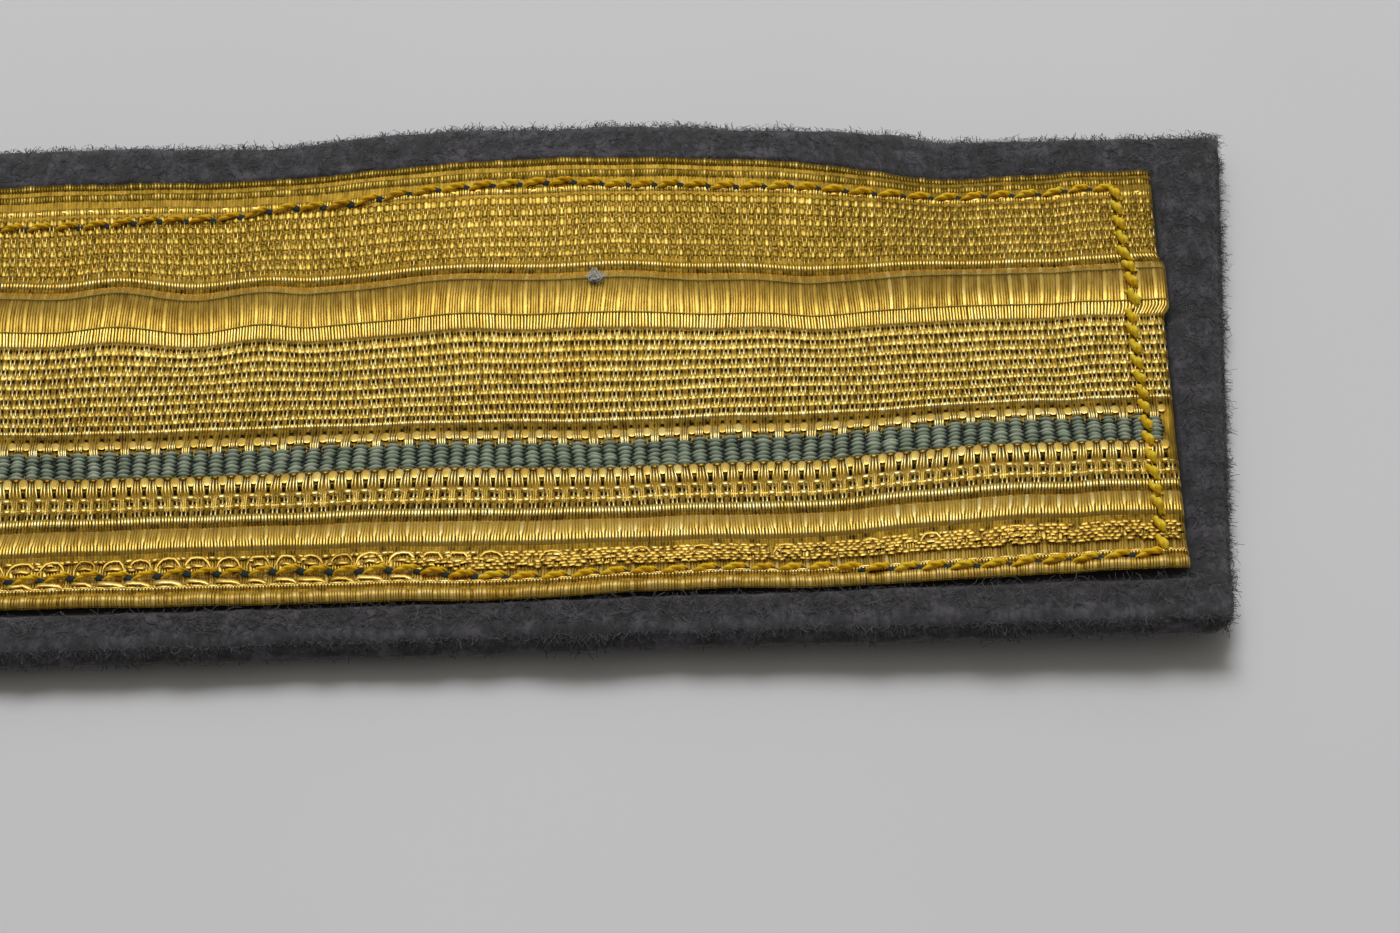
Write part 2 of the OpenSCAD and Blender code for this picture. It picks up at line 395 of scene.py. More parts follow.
def yarn_look(name, dark, plain, bright, stretch, sheen, roughness=0.75, gloss=0.35, shine=(1, 1, 1)):
    """Soft twisted yarn, its fibres drawn out along the yarn."""
    look = Look(
        name, Roughness=roughness, Sheen_Weight=sheen, Sheen_Roughness=0.5, Specular_IOR_Level=gloss,
        Specular_Tint=(*shine, 1))
    fibre = look.grain(1500, 4, stretch=stretch, rough=0.7)
    value = look.stirred(look.tint(), fibre, 1.3)
    look.bump(fibre, 0.5, 0.08 * MM)
    return look.coloured(look.ramp(value, (0, dark), (0.5, plain), (1, bright)))


def felt_look():
    """Matted wool: soft mottling with pale and dark fibres. A low tint is painted shade, under and along the
    lace's edge and on the lower half of the cut edge.
    """
    look = Look("wool_felt", Roughness=0.95, Sheen_Weight=0.25, Sheen_Roughness=0.6)
    mottle = look.grain(420, 5, rough=0.65)
    fibre = look.grain(1700, 4, stretch=(1, 0.35, 1), rough=0.7)
    value = look.math("ADD", look.math("MULTIPLY", mottle, 0.55), look.math("MULTIPLY", fibre, 0.45))
    stops = ((0.4, (0.010, 0.0098, 0.0125)), (0.5, (0.0285, 0.0268, 0.0345)), (0.6, (0.076, 0.072, 0.087)))
    # Low tints turn the felt dark: painted shade.
    press_and_shade = look.ramp(look.tint(), (0, (0.06, 0.055, 0.05)), (0.6, (1, 1, 1)))
    look.bump(look.math("ADD", mottle, fibre), 0.7, 0.15 * MM)
    return look.coloured(look.multiply(look.ramp(value, *stops), press_and_shade))


def nap_look():
    look = Look("wool_nap", Roughness=0.9, Sheen_Weight=0.3)
    stops = ((0, (0.009, 0.009, 0.011)), (0.5, (0.032, 0.0315, 0.037)), (1, (0.115, 0.114, 0.125)))
    return look.coloured(look.ramp(look.tint(), *stops))


def ground_look():
    """The shaded inside of the weave: olive warp between the picks."""
    look = Look("weave_ground", Metallic=0.75, Roughness=0.5, Specular_IOR_Level=0.1)
    warp = look.grain(2600, 2, stretch=(1, 0.2, 1))
    value = look.stirred(look.tint(), warp, 0.8)
    stops = ((0, (0.009, 0.005, 0.0004)), (0.5, (0.36, 0.22, 0.024)), (1, (0.72, 0.48, 0.10)))
    look.bump(warp, 0.4, 0.05 * MM)
    return look.coloured(look.ramp(value, *stops))


def floor_look():
    look = Look("pale_table", Roughness=0.5)
    return look.coloured(look.ramp(look.grain(9, 3), (0.3, (0.75, 0.757, 0.78)), (0.7, (0.79, 0.797, 0.82))))


GOLD = metal_look(
    "gilt_thread", (0.27, 0.156, 0.019), (0.72, 0.483, 0.097), (0.95, 0.82, 0.38), 0.32, (0.80, 0.68, 0.46))
CORD_GOLD = metal_look(
    "gilt_cord", (0.17, 0.108, 0.011), (0.73, 0.500, 0.100), (0.95, 0.80, 0.34), 0.38, (0.78, 0.68, 0.44))
SELVAGE_GOLD = metal_look(
    "selvage_thread", (0.20, 0.13, 0.018), (0.66, 0.44, 0.09), (0.84, 0.64, 0.22), 0.56, (0.78, 0.68, 0.46))
GREEN = yarn_look(
    "green_yarn", (0.014, 0.024, 0.018), (0.30, 0.365, 0.27), (0.60, 0.67, 0.52), (0.3, 1, 1), 0.25)
YELLOW = yarn_look(
    "yellow_thread", (0.56, 0.23, 0.002), (1.0, 0.60, 0.008), (1.0, 0.80, 0.05), (0.3, 0.3, 1), 0.0,
    roughness=0.5, gloss=0.9, shine=(1.0, 0.75, 0.2))
TEAL = yarn_look(
    "teal_thread", (0.003, 0.008, 0.010), (0.012, 0.033, 0.041), (0.04, 0.09, 0.105), (1, 1, 1), 0.05)
OLIVE = yarn_look(
    "tie_thread", (0.16, 0.12, 0.012), (0.42, 0.33, 0.05), (0.66, 0.54, 0.12), (0.3, 1, 1), 0.1)
LINT = yarn_look(
    "grey_lint", (0.18, 0.18, 0.15), (0.38, 0.385, 0.33), (0.6, 0.6, 0.53), (1, 1, 1), 0.4)
GROUND = ground_look()
FELT = felt_look()
NAP = nap_look()


# Threads

ROUND = ((-1, 0), (0, 1), (1, 0))  # a thin thread's section: place across it, height
FULL = ((-1, 0), (-0.75, 0.66), (0, 1), (0.75, 0.66), (1, 0))  # a thick one's
FLAT = ((-1, 0), (-0.5, 1), (0.5, 1), (1, 0))  # a flattened thin one's
BAND = ((-1, 0), (-0.82, 0.7), (-0.42, 1), (0.42, 1), (0.82, 0.7), (1, 0))  # a broad flattened one's
# Darker tints at the band's sides: painted shade where the thread turns away.
BAND_EDGE_SHADE = (-0.4, -0.08, 0.0, 0.0, -0.08, -0.4)


def picks():
    """Places, widths and tints of all the picks, and even places for floats that lie side by side."""
    at = (np.arange(-RIBS - 1, RIBS + 2)[:, None] + PHASES).ravel() * RIB
    wide = np.arange(len(at)) % len(PHASES) == 0
    keep = abs(at) < LACE_L / 2 + PAST_END
    at, wide = at[keep], wide[keep]
    first = int(np.argmax(wide))
    even = at[first] + (np.arange(len(at)) - first) * RIB / len(PHASES)
    at = at + jitter(PICK_JITTER, len(at))
    even = even + jitter(PICK_JITTER, len(at))
    tint = np.where(wide, 0.68, 0.52) + jitter(0.1, len(at))
    return at, np.where(wide, WIDE_PICK, THIN_PICK), tint, even


def satin_tints():
    """Tints of the picks in the smooth bands. Towards the right the wide ones catch more light."""
    light = random.uniform(0, 1, len(PICK_S)) < 0.25 + 0.5 * past(PICK_S, 36, 8)
    crisp = past(PICK_S, 30, 14)
    tint = np.where(PICK_W > THIN_PICK, np.where(light, 0.52 + 0.09 * crisp, 0.45), 0.34 - 0.05 * crisp)
    return tint - 0.08 * past(-PICK_S, 6, 12) + jitter(0.04, len(PICK_S))


PICK_S, PICK_W, PICK_TINT, EVEN_S = picks()
MEAN_TINT = 0.56
SATIN_TINT = satin_tints()
BETWEEN = (PICK_S[1:] + PICK_S[:-1]) / 2
RIB_MIDDLES = (np.arange(-RIBS, RIBS) + 0.5) * RIB


def repeats(parity):
    """Places of the weave's repeats along the lace, half a repeat further on for each one of parity."""
    k = np.arange(-RIBS, RIBS + 1) + 0.5 * parity
    return k[abs(k * RIB) < LACE_L / 2] * RIB


def column(values):
    return np.asarray(values, float)[:, None]


def section_points(s, v, h, width, crown, section):
    """Places along threads, with the side and the height of each point of their section."""
    side, up = np.array(section, float).T
    s, v, h, width, crown = (a[..., None] for a in np.broadcast_arrays(s, v, h, width, crown))
    return s, v, width * side / 2, h + crown * up


def across(s, v, h, width, crown, section=ROUND):
    """Threads that run across the lace. s, v and h hold a row for each thread."""
    s, v, side, h = section_points(s, v, h, width, crown, section)
    return place(s + side, v, h)


def along(s, v, h, width, crown, section=FULL):
    """Threads that run along the lace."""
    s, v, side, h = section_points(s, v, h, width, crown, section)
    return place(s, v - side, h)


def float_row(piece, v_far, v_near, lift, tint, even=False, sink=0.3, lumps=0.0):
    """Every pick floats over the face between two distances, with lumps where they bunch up."""
    s, size = (EVEN_S, 0.2) if even else (PICK_S, column(PICK_W))
    t = np.linspace(0, 1, 5)
    v = v_far + (v_near - v_far) * t
    arch = np.clip(1.7 * np.sin(math.pi * t), 0, 1)
    foot = face(v) - sink
    bunch = column(noise(PICK_S, v_far, 0.55, 36)) * lumps
    h = foot + (face(v) + lift + 0.4 * bunch - foot) * arch - 0.17 * size**0.7
    # Where the picks dive at their ends the tint falls: painted shade.
    shade = column(PICK_TINT) + tint + bunch - 0.25 * (1 - arch)
    piece.add(across(column(s), v, h, size * (0.8 + 0.2 * arch), 0.17 * size**0.7), shade)


def satin(piece, stations, ties, shine, lean=0.0, tone=0.0):
    """Long smooth floats of every pick, tied down by fine threads. Below shine they are bright."""
    v = np.array(stations)
    held = sum(hill(v - tie, 0.16) for tie in ties)
    end = smooth((stations[0] - v) / 0.22) * smooth((v - stations[-1]) / 0.22)
    lit = smooth((shine - v) / 0.5 + 0.5)
    width = column(PICK_W) * 1.4 * (1 - lit) + 0.22 * lit
    crown = 0.3 * column(PICK_W) ** 0.7 * (1 - 0.2 * lit)
    h = face(v) - 0.05 * held - 0.42 * (1 - end) - crown
    # In the lit part the tint is raised to the mean, a painted highlight; the floats' ends where they dive
    # and the places under the ties are darker, painted shade.
    shade = (column(SATIN_TINT) + tone) * (1 - lit) + (MEAN_TINT + 0.4 * column(PICK_TINT - 0.55)) * lit
    shade = shade - 0.3 * (1 - end) - 0.1 * held + 0.2 * past(v, PAINTED_LIGHT_FROM_V, 0.4)
    s = column(PICK_S) * (1 - lit) + column(EVEN_S) * lit
    s = s + lean * past(v, shine, 1.2) * past(-column(PICK_S), -12, 40)
    piece.add(across(s, v, h, width, crown), shade)


def pairs(piece, v_row, parity, half, cross, tint):
    """Two thin picks in each repeat bridge a row between two cords and run on over the near cord."""
    at = repeats(parity)
    s = np.concatenate([at - PAIR_SPREAD, at + PAIR_SPREAD]) + jitter(0.02, 2 * len(at))
    v = np.array([half + 0.1, half, -half - 0.05, -half - 0.8 * cross, -half - cross])
    v = v_row + v + jitter(0.03, len(s), 1)
    h = face(v_row) + np.array([-0.26, 0.02, -0.03, -0.08, -0.26])
    # Darker at both ends, where the picks dive under the cords, and a little darker over the near cord than
    # in the open row: painted shade.
    shade = np.array([-0.4, 0, 0.02, -0.12, -0.2]) + tint + jitter(0.12, len(s), 1)
    lean = jitter(0.03, len(s), 1) * np.linspace(-0.5, 0.5, 5)
    width = THIN_PICK * random.uniform(0.62, 0.86, (len(s), 1))
    piece.add(across(column(s) + lean, v, h, width, 0.05, FLAT), shade)


def cord(piece, v_row, width, lumps, tint, groove=0.09, contrast=1.0):
    """A thick thread along the lace under a close layer of picks, with a groove between two picks."""
    s = np.concatenate([PICK_S, BETWEEN])
    order = np.argsort(s)
    ridge = order < len(PICK_S)
    own = MEAN_TINT + 0.35 * (PICK_TINT - MEAN_TINT) + jitter(0.05, len(PICK_S))
    # The groove between two picks is 0.4 darker: painted shade.
    pick = np.concatenate([own, (own[1:] + own[:-1]) / 2 - 0.4])[order]
    s = s[order]
    swell = np.cos(2 * TAU * s / RIB)
    slow = noise(s, 3 * v_row, 0.9, 31)
    w = width * (1 + lumps * swell + 0.08 * slow)
    crown = 0.24 * (1 + 0.5 * lumps * swell) - np.where(ridge, 0, groove)
    h = face(v_row) - 0.3 + 0.02 * swell
    mottle = 0.12 * noise(s, 5 * v_row, 0.45, 32) + 0.16 * noise(s, 9 * v_row, 0.24, 34)
    # The tint rises with the swell: painted highlight on the swells, painted shade at the pinches.
    shade = tint + contrast * (pick - MEAN_TINT + lumps * swell + mottle)
    grid = along(s, v_row + 0.03 * slow, h, w, crown, BAND)
    piece.add(grid[None], (shade[:, None] + BAND_EDGE_SHADE)[None])


def plain_cord(piece, v_row, width, pinch, tint, lift=0.0, crown=0.2, phase=0.0):
    """A bare thread along the lace that swells once in each repeat."""
    edge = LACE_L / 2 + 0.35
    s = np.arange(-edge, edge, RIB / 5)[None, :]
    swell = np.cos(TAU * (s / RIB + phase))
    h = face(v_row) - crown + lift + 0.3 * pinch * swell
    # The tint rises with the swell: painted highlight on the swells, painted shade at the pinches.
    shade = tint + pinch * swell + 0.1 * noise(s, v_row, 0.5, 33)
    piece.add(along(s, v_row, h, width * (1 + pinch * swell), crown), shade[..., None])


def lens(s, v, h, length, width, crown, point, steps=9, lean=0.0):
    """Plump floats along the lace, pointed at both ends. Returns a grid for each."""
    t = np.linspace(-1, 1, steps)
    s, v, h, length, width, crown, lean = (
        column(a) for a in np.broadcast_arrays(s, v, h, length, width, crown, lean))
    taper = 0.08 + 0.92 * (1 - abs(t) ** (1 / point))
    return along(s + length * t / 2, v + lean * t, h, width * taper, crown * (1 - t * t))


def pad(s, v, h, length, width, crown, steps=7):
    """Smooth rounded pads, longer or shorter along the lace. Returns a grid for each."""
    s, v, h, length, width, crown = (
        value[:, None, None] for value in np.broadcast_arrays(s, v, h, length, width, crown))
    a = column(np.sin(np.linspace(-1, 1, steps) * math.pi / 2))
    b = a.T
    dome = (1 - a**6) * (1 - b**6)
    return place(
        s + length * a * (1 - 0.28 * b * b) / 2, v + width * b * (1 - 0.28 * a * a) / 2, h + crown * dome)


def shade_gap_row(piece, s, v_row, length, width, depth, tint):
    """Small dark pads in a row of openings: painted shade."""
    s = s + jitter(0.015, len(s))
    v = v_row + jitter(0.02, len(s))
    size = random.uniform(0.8, 1.15, len(s))
    piece.add(pad(s, v, face(v) - depth, length * size, width, 0.0, steps=2), tint)


def fan(piece, s, ends, spots, spread, heights, tints, width=0.8):
    """Thin picks side by side that run from one v to another and spread or close on the way."""
    t = np.linspace(0, 1, len(heights))
    v = ends[0] + (ends[1] - ends[0]) * t
    wide = spread[0] + (spread[1] - spread[0]) * t
    at = s[:, None, None] + column(spots) * wide + jitter(0.02, len(s), len(spots), 1)
    at = at.reshape(-1, len(t))
    shade = np.array(tints) + jitter(0.1, len(at), 1)
    piece.add(across(at, v, np.array(heights), THIN_PICK * width, 0.07), shade)


def bent(piece, s, path, width, crown, tints, section=BAND):
    """Threads that follow one path of places along, across and up, repeated at each s."""
    path = np.array(path, float)
    way = np.gradient(path[:, :2], axis=0)
    way /= np.linalg.norm(way, axis=1, keepdims=True)
    side, up = np.array(section).T
    taper = column([0.3, *np.ones(len(path) - 2), 0.3])
    size = random.uniform(0.85, 1.15, (len(s), 1, 1))
    off = side * width * taper * size / 2
    jog = jitter(0.04, len(s), len(path), 1)
    at = s[:, None, None] + path[:, :1] * size - way[:, 1:] * off
    v = path[:, 1:2] + jog + way[:, :1] * off
    h = face(path[:, 1:2]) + path[:, 2:] + crown * up
    piece.add(place(at, v, h), np.array(tints) + jitter(0.08, len(s), 1))


# The rows of the weave, from the near selvage to the far one

LOWER_SATIN = (7.72, 7.55, 7.2, 6.7, 6.2, 5.8, 5.45, 5.2, 5.02)  # points of the smooth bands' floats
UPPER_SATIN = (
    33.98, 33.85, 33.6, 33.1, 32.78, 32.6, 32.42, 31.9, 31.2, 30.5, 29.8,
    29.2, 29.0, 28.8, 28.5, 28.1, 27.8, 27.6, 27.47)
UPPER_TIES = (32.6, 29.0)
PAINTED_LIGHT_FROM_V = 32.5  # beyond this the broad band turns away, and its tint is raised to paint it lighter: painted highlight
LOW_CELLS_V, LOW_CORD_V, HOLES_V = 9.75, 10.8, 11.5
GREEN_V = (12.95, 15.9)
MIDDLE_V, MIDDLE_PITCH = 18.05, 1.1
MIDDLE_CORDS = tuple((MIDDLE_V + MIDDLE_PITCH * i, 0.7 + 0.03 * i) for i in range(1, 9))  # place, width
FAR_V, FAR_PITCH = 35.9, 1.05
FAR_CORDS = tuple((FAR_V + FAR_PITCH * i, 0.9) for i in range(6))
MIDDLE_HALVES = [0.3 - 0.012 * i for i in range(9)]
# The pairs' tints near 0.9 are painted highlight, and the gaps' low tints are painted shade.
PAIR_ROWS = (  # place, parity, the pairs' half width, crossing and tint, the gaps' half width and tint
    *((MIDDLE_V + MIDDLE_PITCH * (i + 0.5), i % 2, half, 0.45, 0.9, half, 0.04 * i - 0.5)
      for i, half in enumerate(MIDDLE_HALVES)),
    *((FAR_V + FAR_PITCH * (i - 0.5), i % 2 + 1, 0.17, 0.55, 0.5, 0.17, 0.24) for i in range(6)),
    (LOW_CORD_V - 0.5, 0.48, 0.22, 0.4, 0.9, 0.2, -0.3),
    (LOW_CELLS_V - 0.55, 1.12, 0.25, 0.3, 0.9, 0.25, -0.2),
)
PAIR_SPREAD = 0.165  # half the distance between the two picks of a pair

RIB_ROWS = (  # far end, near end, lift above the face, tint, whether the picks lie evenly
    (34.95, 34.1, 0.04, 0.0, True), (18.4, 17.74, 0.05, 0.12, False), (9.0, 8.0, 0.06, 0.17, True),
    (3.0, 1.5, -0.12, -0.2, False), (4.95, 3.1, -0.16, -0.16, False), (1.72, 1.22, 0.08, 0.06, True),
)

GROUND_STEP = 2.3
GROUND_LINES = (4.8, 5.0, 7.7, 11.3, 11.5, 11.7, 12.7, 12.9, 15.8, 16.1, 17.4, 27.25, 27.5, 33.8, 34.05)
DARK_LINES = (4.85, 7.75, 17.4, 27.36, 34.0)  # where the weave changes and its ground is shaded


def weave_ground():
    """The lace's own sheet, with a low ridge for each pick, sunk under the rows of the weave."""
    s = np.sort(np.concatenate([PICK_S, BETWEEN]))
    ridge = np.where(np.isin(s, PICK_S), 1, -1)[:, None]
    inner = np.sort(np.concatenate([np.arange(0.45, 44.8, GROUND_STEP), GROUND_LINES]))
    v = np.concatenate([[-0.02, 0.0, 0.1], inner, [44.9, 45.0, 45.02]])
    S, V = np.meshgrid(s, v, indexing="ij")
    depth = 0.17 + 0.1 * smooth((5 - V) / 0.5) + 0.3 * hill(V - sum(GREEN_V) / 2, 1.5, power=8)
    hole = hill(V - HOLES_V, 0.25, power=4) * hill((S / RIB + 0.5) % 1 - 0.5, 0.12, power=4)
    h = np.maximum(face(V) - depth - 0.2 * hole, 0.1) + 0.035 * ridge
    h[:, [0, -1]] = 0.0
    h[:, [1, -2]] = 0.15
    dark = sum(hill(V - line, 0.3) for line in DARK_LINES)
    # The holes are darker, painted shade in them, and each pick's ridge is lighter than the valleys beside
    # it: painted highlight and shade.
    tint = 0.36 + 0.12 * past(V, 34, 2) - 0.12 * dark - 0.5 * hole
    tint = tint + 0.12 * ridge + 0.12 * noise(S, V, 0.8, 35)
    piece = Piece("lace_ground")
    piece.add(place(S, V, h)[None], np.clip(tint, 0, 1)[None])
    return piece.build(GROUND)


def smooth_bands():
    upper = Piece("broad_smooth_band")
    satin(upper, UPPER_SATIN, UPPER_TIES, shine=UPPER_TIES[1], tone=-0.09)
    lower = Piece("narrow_smooth_band")
    satin(lower, LOWER_SATIN, (), shine=6.0, lean=0.1, tone=0.09)
    return [upper.build(GOLD), lower.build(GOLD)]


def tie_threads():
    piece = Piece("tie_threads")
    for v_row in UPPER_TIES:
        plain_cord(piece, v_row, 0.13, pinch=0.05, lift=0.03, tint=0.4, crown=0.1)
    return piece.build(OLIVE)


def short_floats():
    """Narrow rows where every pick shows."""
    piece = Piece("rib_rows")
    for row in RIB_ROWS:
        float_row(piece, *row)
    return piece.build(GOLD)


def selvages():
    """Duller picks that bunch up along the near selvage and stand like teeth along the far one."""
    near = Piece("near_selvage")
    float_row(near, 1.0, -0.04, lift=0.02, tint=0.06, sink=0.36, lumps=0.24)
    far = Piece("far_selvage")
    float_row(far, 45.05, 44.1, lift=0.06, tint=-0.5, even=True, sink=0.36, lumps=0.16)
    float_row(far, 44.0, 42.95, lift=0.04, tint=-0.42, even=True, lumps=0.16)
    float_row(far, 42.7, 41.65, lift=-0.03, tint=-0.16)
    return [near.build(SELVAGE_GOLD), far.build(CORD_GOLD)]


def basket_picks():
    piece = Piece("basket_picks")
    for *row, _, _ in PAIR_ROWS:
        pairs(piece, *row)
    return piece.build(GOLD)


def middle_cords():
    piece = Piece("middle_cords")
    for v_row, width in MIDDLE_CORDS:
        cord(piece, v_row, width, lumps=0.15, tint=0.6)
    return piece.build(CORD_GOLD)


def edge_cords():
    piece = Piece("edge_cords")
    for v_row, width in FAR_CORDS:
        cord(piece, v_row, width, lumps=0.17, tint=0.3, groove=0.06, contrast=0.7)
    plain_cord(piece, 1.6, 0.24, pinch=0.1, tint=0.6, lift=0.08, crown=0.12, phase=0.4)
    for v_row in (LOW_CORD_V, LOW_CELLS_V):
        plain_cord(piece, v_row, 0.42, pinch=0.1, tint=0.42)
    return piece.build(CORD_GOLD)


def stripe_edges():
    """Beside the green stripe the wide pick swells into a smooth pad, and the thin picks fan out."""
    piece = Piece("stripe_edges")
    cells = repeats(0)
    tint = 0.52 + jitter(0.05, len(cells))
    piece.add(pad(cells, 16.5, 0.71, 0.7, 0.88, 0.02), tint)
    piece.add(pad(cells, 12.4, 0.71, 0.74, 1.0, 0.03), tint)
    piece.add(pad(RIB_MIDDLES, 12.8, 0.4, 0.78, 0.5, 0.36), 0.06)
    four = np.linspace(-0.3, 0.3, 4)
    rising = (0.3, 0.62, 0.7, 0.76, 0.82, 0.62)
    # The fans' tints fall where the picks sink at their ends: painted shade.
    shades = (0.3, 0.6, 0.72, 0.8, 0.85, 0.7)
    fan(piece, RIB_MIDDLES[::2], (17.15, 15.95), four, (1.05, 0.95), rising, shades)
    fan(piece, RIB_MIDDLES[1::2], (17.15, 15.45), four, (1.05, 0.9), rising, shades)
    falling = (0.42, 0.7, 0.74, 0.7, 0.6, 0.34)
    # Darker at both ends, where the picks dive: painted shade.
    shades = (0.1, 0.6, 0.9, 0.85, 0.6, 0.25)
    fan(piece, RIB_MIDDLES, (12.8, 11.15), four, (0.95, 1.42), falling, shades)
    tint = 0.66 + jitter(0.06, len(cells))
    piece.add(pad(cells - 0.06, LOW_CORD_V, 0.42, 0.92, 0.54, 0.3), tint)
    piece.add(pad(cells + 0.06, LOW_CELLS_V, 0.42, 0.84, 0.62, 0.32), tint)
    return piece.build(GOLD)


def strands():
    """Brownish picks that run over the two low cords, under each rib of the stripe."""
    piece = Piece("low_strands")
    heights = (0.3, 0.6, 0.64, 0.56, 0.6, 0.5)
    # Darker where the picks sink: painted shade.
    shades = (0.3, 0.48, 0.46, 0.36, 0.46, 0.3)
    fan(piece, RIB_MIDDLES, (11.3, 9.4), (-0.17, 0.0, 0.17), (1.1, 0.95), heights, shades, width=0.9)
    return piece.build(CORD_GOLD)


def mirrored(*path):
    """A whole path from its left half, as places along, distances across and heights over the face."""
    return path + tuple((-s, v, h) for s, v, h in path[::-1] if s)


LOOP_PITCH = 2.27
ARCH = mirrored((-0.98, 3.55, -0.3), (-0.76, 4.1, -0.12), (-0.48, 4.48, -0.06), (0, 4.56, -0.04))
UNDER_ARCH = mirrored((-0.66, 3.68, -0.2), (-0.44, 3.7, -0.08), (0, 3.74, -0.04))
BESIDE_ARCH = mirrored((-0.34, 4.4, -0.18), (-0.2, 4.44, -0.06))
DIPPING = (
    (-1.12, 2.0, -0.22), (-0.8, 2.22, -0.06), (-0.3, 2.2, -0.02), (0.3, 2.16, -0.02),
    (0.75, 2.02, -0.06), (1.1, 1.86, -0.24))
SEGMENT = mirrored((-0.32, 4.5, -0.16), (-0.18, 4.54, -0.08))
SEGMENT_ROWS = 6
SEGMENT_PITCH = 0.54
SEGMENT_ROW_W = 0.32


def segments(piece, row):
    """One row of short gold segments, thinned out towards the left."""
    end = LACE_L / 2 - 0.5
    at = np.arange(0.26 * (row % 2) - end, end, SEGMENT_PITCH)
    at = at + jitter(0.07, len(at))
    share = 0.9 if row == 0 else 0.75 * past(at, -2, 12) + 0.1
    at = at[random.uniform(0, 1, len(at)) < share]
    path = np.array(SEGMENT) - (0, SEGMENT_ROW_W * row, -0.03 * (row % 2))
    shade = 0.34 - 0.02 * row
    # The segments' ends are darker where they dive: painted shade.
    bent(piece, at, path, 0.3, 0.04, (0.3, shade, shade, 0.3), FLAT)


def long_floats():
    """Loose gold threads that loop along the two rows of stitches."""
    piece = Piece("long_floats")
    s = np.arange(-LACE_L / 2 + 1, LACE_L / 2 - 1, LOOP_PITCH)
    s = s + jitter(0.1, len(s))
    loose = s[random.uniform(0, 1, len(s)) > 0.75 * past(s, 2, 14)]
    # In each path the tints fall at the ends, where the threads dive: painted shade.
    bent(piece, loose, ARCH, 0.28, 0.06, (0.2, 0.3, 0.42, 0.44, 0.42, 0.3, 0.2))
    bent(piece, loose, UNDER_ARCH, 0.36, 0.06, (0.36, 0.46, 0.5, 0.46, 0.36))
    bent(piece, loose + LOOP_PITCH / 2, BESIDE_ARCH, 0.34, 0.12, (0.5, 0.66, 0.66, 0.5))
    for row in range(SEGMENT_ROWS):
        segments(piece, row)
    left = s[s < 8 + jitter(6, len(s))]
    bent(piece, left, DIPPING, 0.46, 0.1, (0.4, 0.6, 0.66, 0.66, 0.6, 0.4))
    far_v = 42.1
    v = far_v + jitter(0.05, len(s))
    lean = jitter(0.05, len(s))
    grid = lens(s + 0.2, v, face(far_v) - 0.2, 1.2, 0.5, 0.22, point=0.45, lean=lean)
    piece.add(grid, 0.46 + jitter(0.08, len(s)))
    return piece.build(GOLD)


def painted_gap_shade():
    """Dark pads in the openings between the picks: painted shade where one looks into the weave."""
    piece = Piece("painted_gap_shade")
    for v_row, parity, *_, half, tint in PAIR_ROWS:
        for off, length, share in ((0, 0.21, 2), (-0.34, 0.2, 1.9), (0.34, 0.2, 1.9)):
            shade_gap_row(piece, repeats(parity) + off, v_row, length, share * half, 0.11, tint)
    single = (  # places, distance across, length along the lace, width across it, depth, tint
        (repeats(0), HOLES_V, 0.26, 0.46, 0.08, -0.5), (repeats(0), 17.3, 0.36, 0.4, 0.1, -0.5),
        (repeats(1), 17.35, 0.14, 0.36, 0.1, -0.2), (BETWEEN, 27.36, 0.11, 0.34, 0.05, -0.5),
        (EVEN_S + RIB / 10, 8.5, 0.1, 0.8, 0.1, -0.5), (BETWEEN, 7.98, 0.1, 0.3, 0.02, -0.5),
        (BETWEEN[::2], 34.0, 0.1, 0.2, 0.05, -0.5))
    for row in single:
        shade_gap_row(piece, *row)
    return piece.build(GROUND)


GREEN_ROWS = 7
GREEN_PITCH = (GREEN_V[1] - GREEN_V[0]) / GREEN_ROWS
GREEN_STEPS = 13  # points along one float
WIDE_RIB_S = 22.5  # place of one rib that has come out wider than the rest


def green_stripe():
    """Ribs of short plump floats, whose pointed ends interlock with those of the next rib."""
    piece = Piece("green_ribs")
    odd = np.arange(len(RIB_MIDDLES)) % 2
    from_middle = abs(column(np.linspace(-1, 1, GREEN_STEPS)))
    sides = np.array([-0.35, 0, 0.08, 0, -0.35])
    for row in range(-1, GREEN_ROWS + 1):
        v = GREEN_V[1] - GREEN_PITCH * (row + 0.5 + 0.5 * odd)
        keep = (v > GREEN_V[0] - 0.1) & (v < GREEN_V[1] + 0.1)
        n = keep.sum()
        v = v[keep] + jitter(0.03, n)
        s = RIB_MIDDLES[keep]
        length = RIB * np.where(abs(s - WIDE_RIB_S) < RIB / 2, 1.42, 1.17) + jitter(0.09, n)
        width = GREEN_PITCH * 1.08 + jitter(0.04, n)
        lean = jitter(0.05, n)
        # The floats' ends and sides are darker and their crowns a little lighter: painted shade and
        # highlight.
        shade = 0.66 + jitter(0.09, n, 1, 1) - 1.5 * from_middle**4 + sides
        piece.add(lens(s, v, 0.26, length, width, 0.5, point=0.66, steps=GREEN_STEPS, lean=lean), shade)
    piece.add(lens([WIDE_RIB_S], 14.5, 0.66, 0.62, 0.2, 0.14, point=0.6), -0.4)  # the wide rib's dark eye
    # A dark sheet under the ribs: painted shade in the valleys between them.
    S, V = np.meshgrid(np.arange(-RIBS, RIBS + 1) * RIB, np.linspace(*GREEN_V, 3), indexing="ij")
    piece.add(place(S, V, 0.3)[None], -0.5)
    return piece.build(GREEN)


# Sewing

